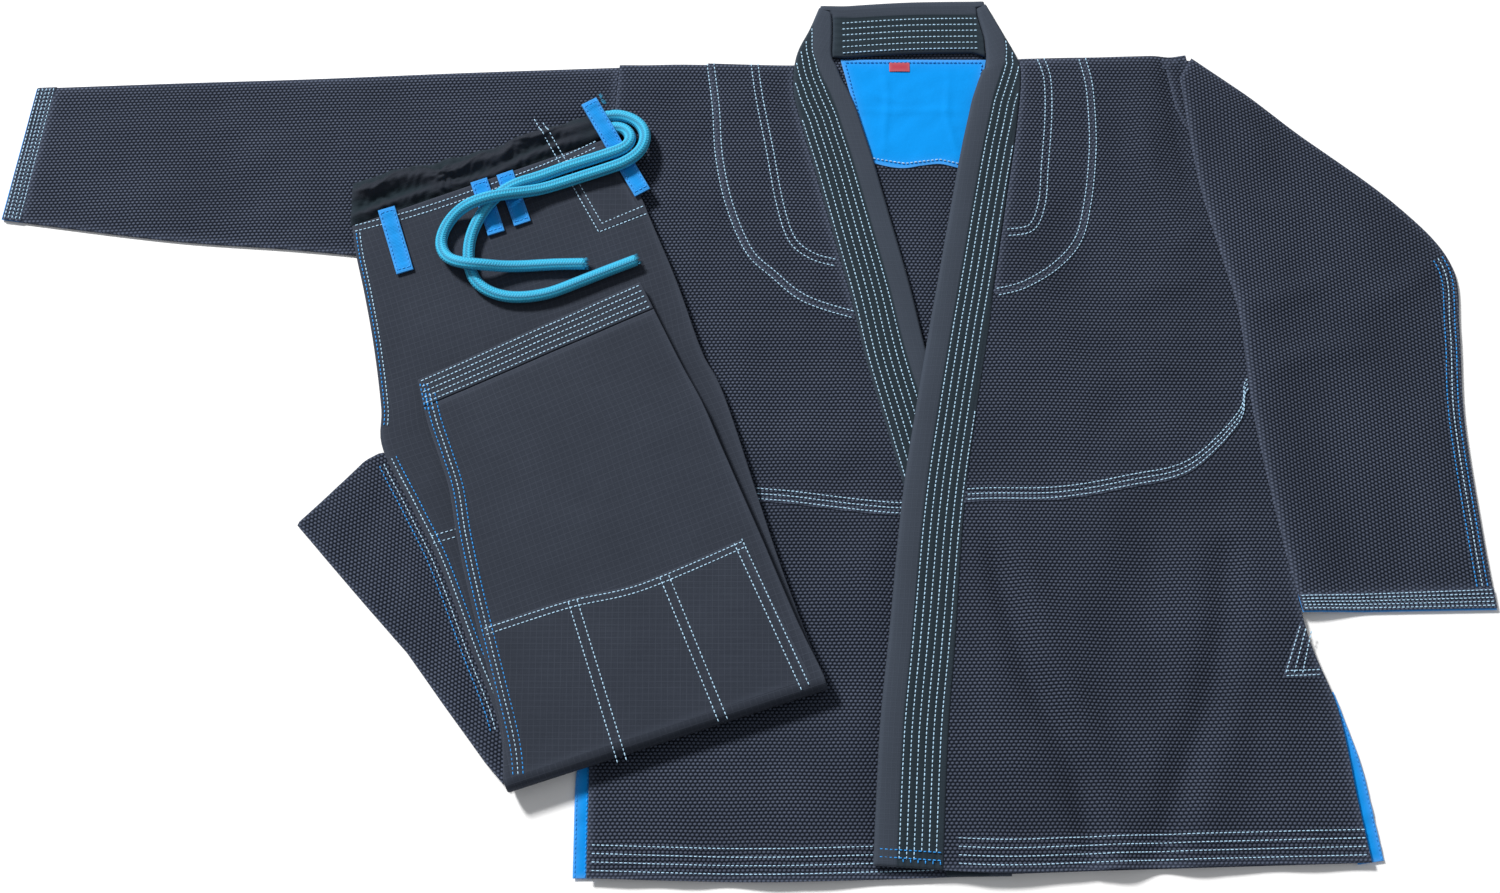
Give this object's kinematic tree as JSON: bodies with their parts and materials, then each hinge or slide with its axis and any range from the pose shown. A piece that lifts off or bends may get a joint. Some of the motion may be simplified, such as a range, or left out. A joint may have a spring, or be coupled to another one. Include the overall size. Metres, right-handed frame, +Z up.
{
  "type": "martial arts uniform",
  "caption": "Jiu-jitsu uniform laid flat: pearl-weave jacket with overlapping lapels, and drawstring trousers folded on its front.",
  "frame": {"origin": "middle of the suit's footprint, on the floor it lies on", "axes": "+X along the spread sleeves towards the wearer's left, +Y from the hem to the collar, +Z up from the floor"},
  "size_m": [1.253, 0.763, 0.0396],
  "materials": {
    "pearl_weave": "matt pearl-weave cotton, raised staggered grains, light contrast stitching",
    "lapel_ripstop": "matt fine cotton cover with rows of stitching",
    "trouser_ripstop": "matt fine ripstop cotton",
    "casing_cotton": "matt dark cotton, gathered",
    "blue_cotton": "matt bright blue cotton",
    "loop_webbing": "bright blue cotton with edge stitching",
    "drawcord": "braided turquoise rope",
    "rubber_core": "matt foam rubber",
    "label": "plain woven label, blank"
  },
  "bodies": {
    "jacket": {"back_panel": "pearl_weave", "right_side_seam_tape": "pearl_weave", "left_side_seam_tape": "pearl_weave", "right_shoulder_seam_tape": "pearl_weave", "left_shoulder_seam_tape": "pearl_weave", "right_chest": "pearl_weave", "right_skirt": "pearl_weave", "left_chest_side": "pearl_weave", "left_skirt_side": "pearl_weave", "right_chest_patch": "pearl_weave", "left_chest_patch_side": "pearl_weave", "left_vent_patch": "pearl_weave", "right_vent_patch": "pearl_weave", "right_upper_sleeve_under": "pearl_weave", "right_upper_sleeve_top": "pearl_weave", "left_upper_sleeve_under": "pearl_weave", "left_upper_sleeve_top": "pearl_weave", "right_lapel_cover": "lapel_ripstop", "right_lapel_core": "rubber_core", "collar_back_cover": "lapel_ripstop", "collar_back_core": "rubber_core", "neck_lining": "blue_cotton", "size_label": "label", "right_vent_tape": "blue_cotton", "left_vent_tape": "blue_cotton", "left_collar_cover": "lapel_ripstop", "left_collar_core": "rubber_core"},
    "left_front": {"left_chest_flap": "pearl_weave", "left_skirt_flap": "pearl_weave", "left_lapel_cover": "lapel_ripstop", "left_lapel_core": "rubber_core", "left_chest_patch_flap": "pearl_weave"},
    "right_forearm": {"right_forearm_under": "pearl_weave", "right_forearm_top": "pearl_weave", "right_cuff_band": "pearl_weave"},
    "left_forearm": {"left_forearm_under": "pearl_weave", "left_forearm_top": "pearl_weave", "left_cuff_band": "pearl_weave"},
    "trousers": {"right_thigh_back": "trouser_ripstop", "right_thigh_front": "trouser_ripstop", "left_thigh_front": "trouser_ripstop", "left_thigh_back": "trouser_ripstop", "waistband_casing": "casing_cotton", "drawcord_in_casing": "drawcord", "crotch_gusset": "pearl_weave", "hip_patch": "trouser_ripstop", "belt_loop_1": "loop_webbing", "belt_loop_2": "loop_webbing", "belt_loop_3": "loop_webbing", "belt_loop_4": "loop_webbing", "drawcord_end_a": "drawcord", "drawcord_end_b": "drawcord"},
    "lower_legs": {"left_shin_back": "trouser_ripstop", "left_shin_front": "trouser_ripstop", "right_shin_front": "trouser_ripstop", "right_shin_back": "trouser_ripstop", "left_trouser_hem": "trouser_ripstop", "right_trouser_hem": "trouser_ripstop", "right_knee_patch": "trouser_ripstop"}
  },
  "joints": [
    {"name": "front_opens", "type": "hinge", "parent": "jacket", "child": "left_front", "pos_m": [0.2595, 0.3285, 0.0146], "axis": [-0.1261, 0.992, 0], "range_deg": [0, 165]},
    {"name": "right_sleeve_fold", "type": "hinge", "parent": "jacket", "child": "right_forearm", "pos_m": [-0.3665, 0.2275, 0.0038], "axis": [0, 1, 0], "range_deg": [0, 120]},
    {"name": "left_sleeve_fold", "type": "hinge", "parent": "jacket", "child": "left_forearm", "pos_m": [0.527, 0.0725, 0.01], "axis": [-1, 0, 0], "range_deg": [0, 175]},
    {"name": "trousers_lift", "type": "slide", "parent": "jacket", "child": "trousers", "axis": [0, 0, 1], "range_m": [0, 0.3]},
    {"name": "legs_unfold", "type": "hinge", "parent": "trousers", "child": "lower_legs", "pos_m": [-0.0455, -0.273, 0.01695], "axis": [0.952, 0.3059, 0], "range_deg": [0, 170]}
  ]
}
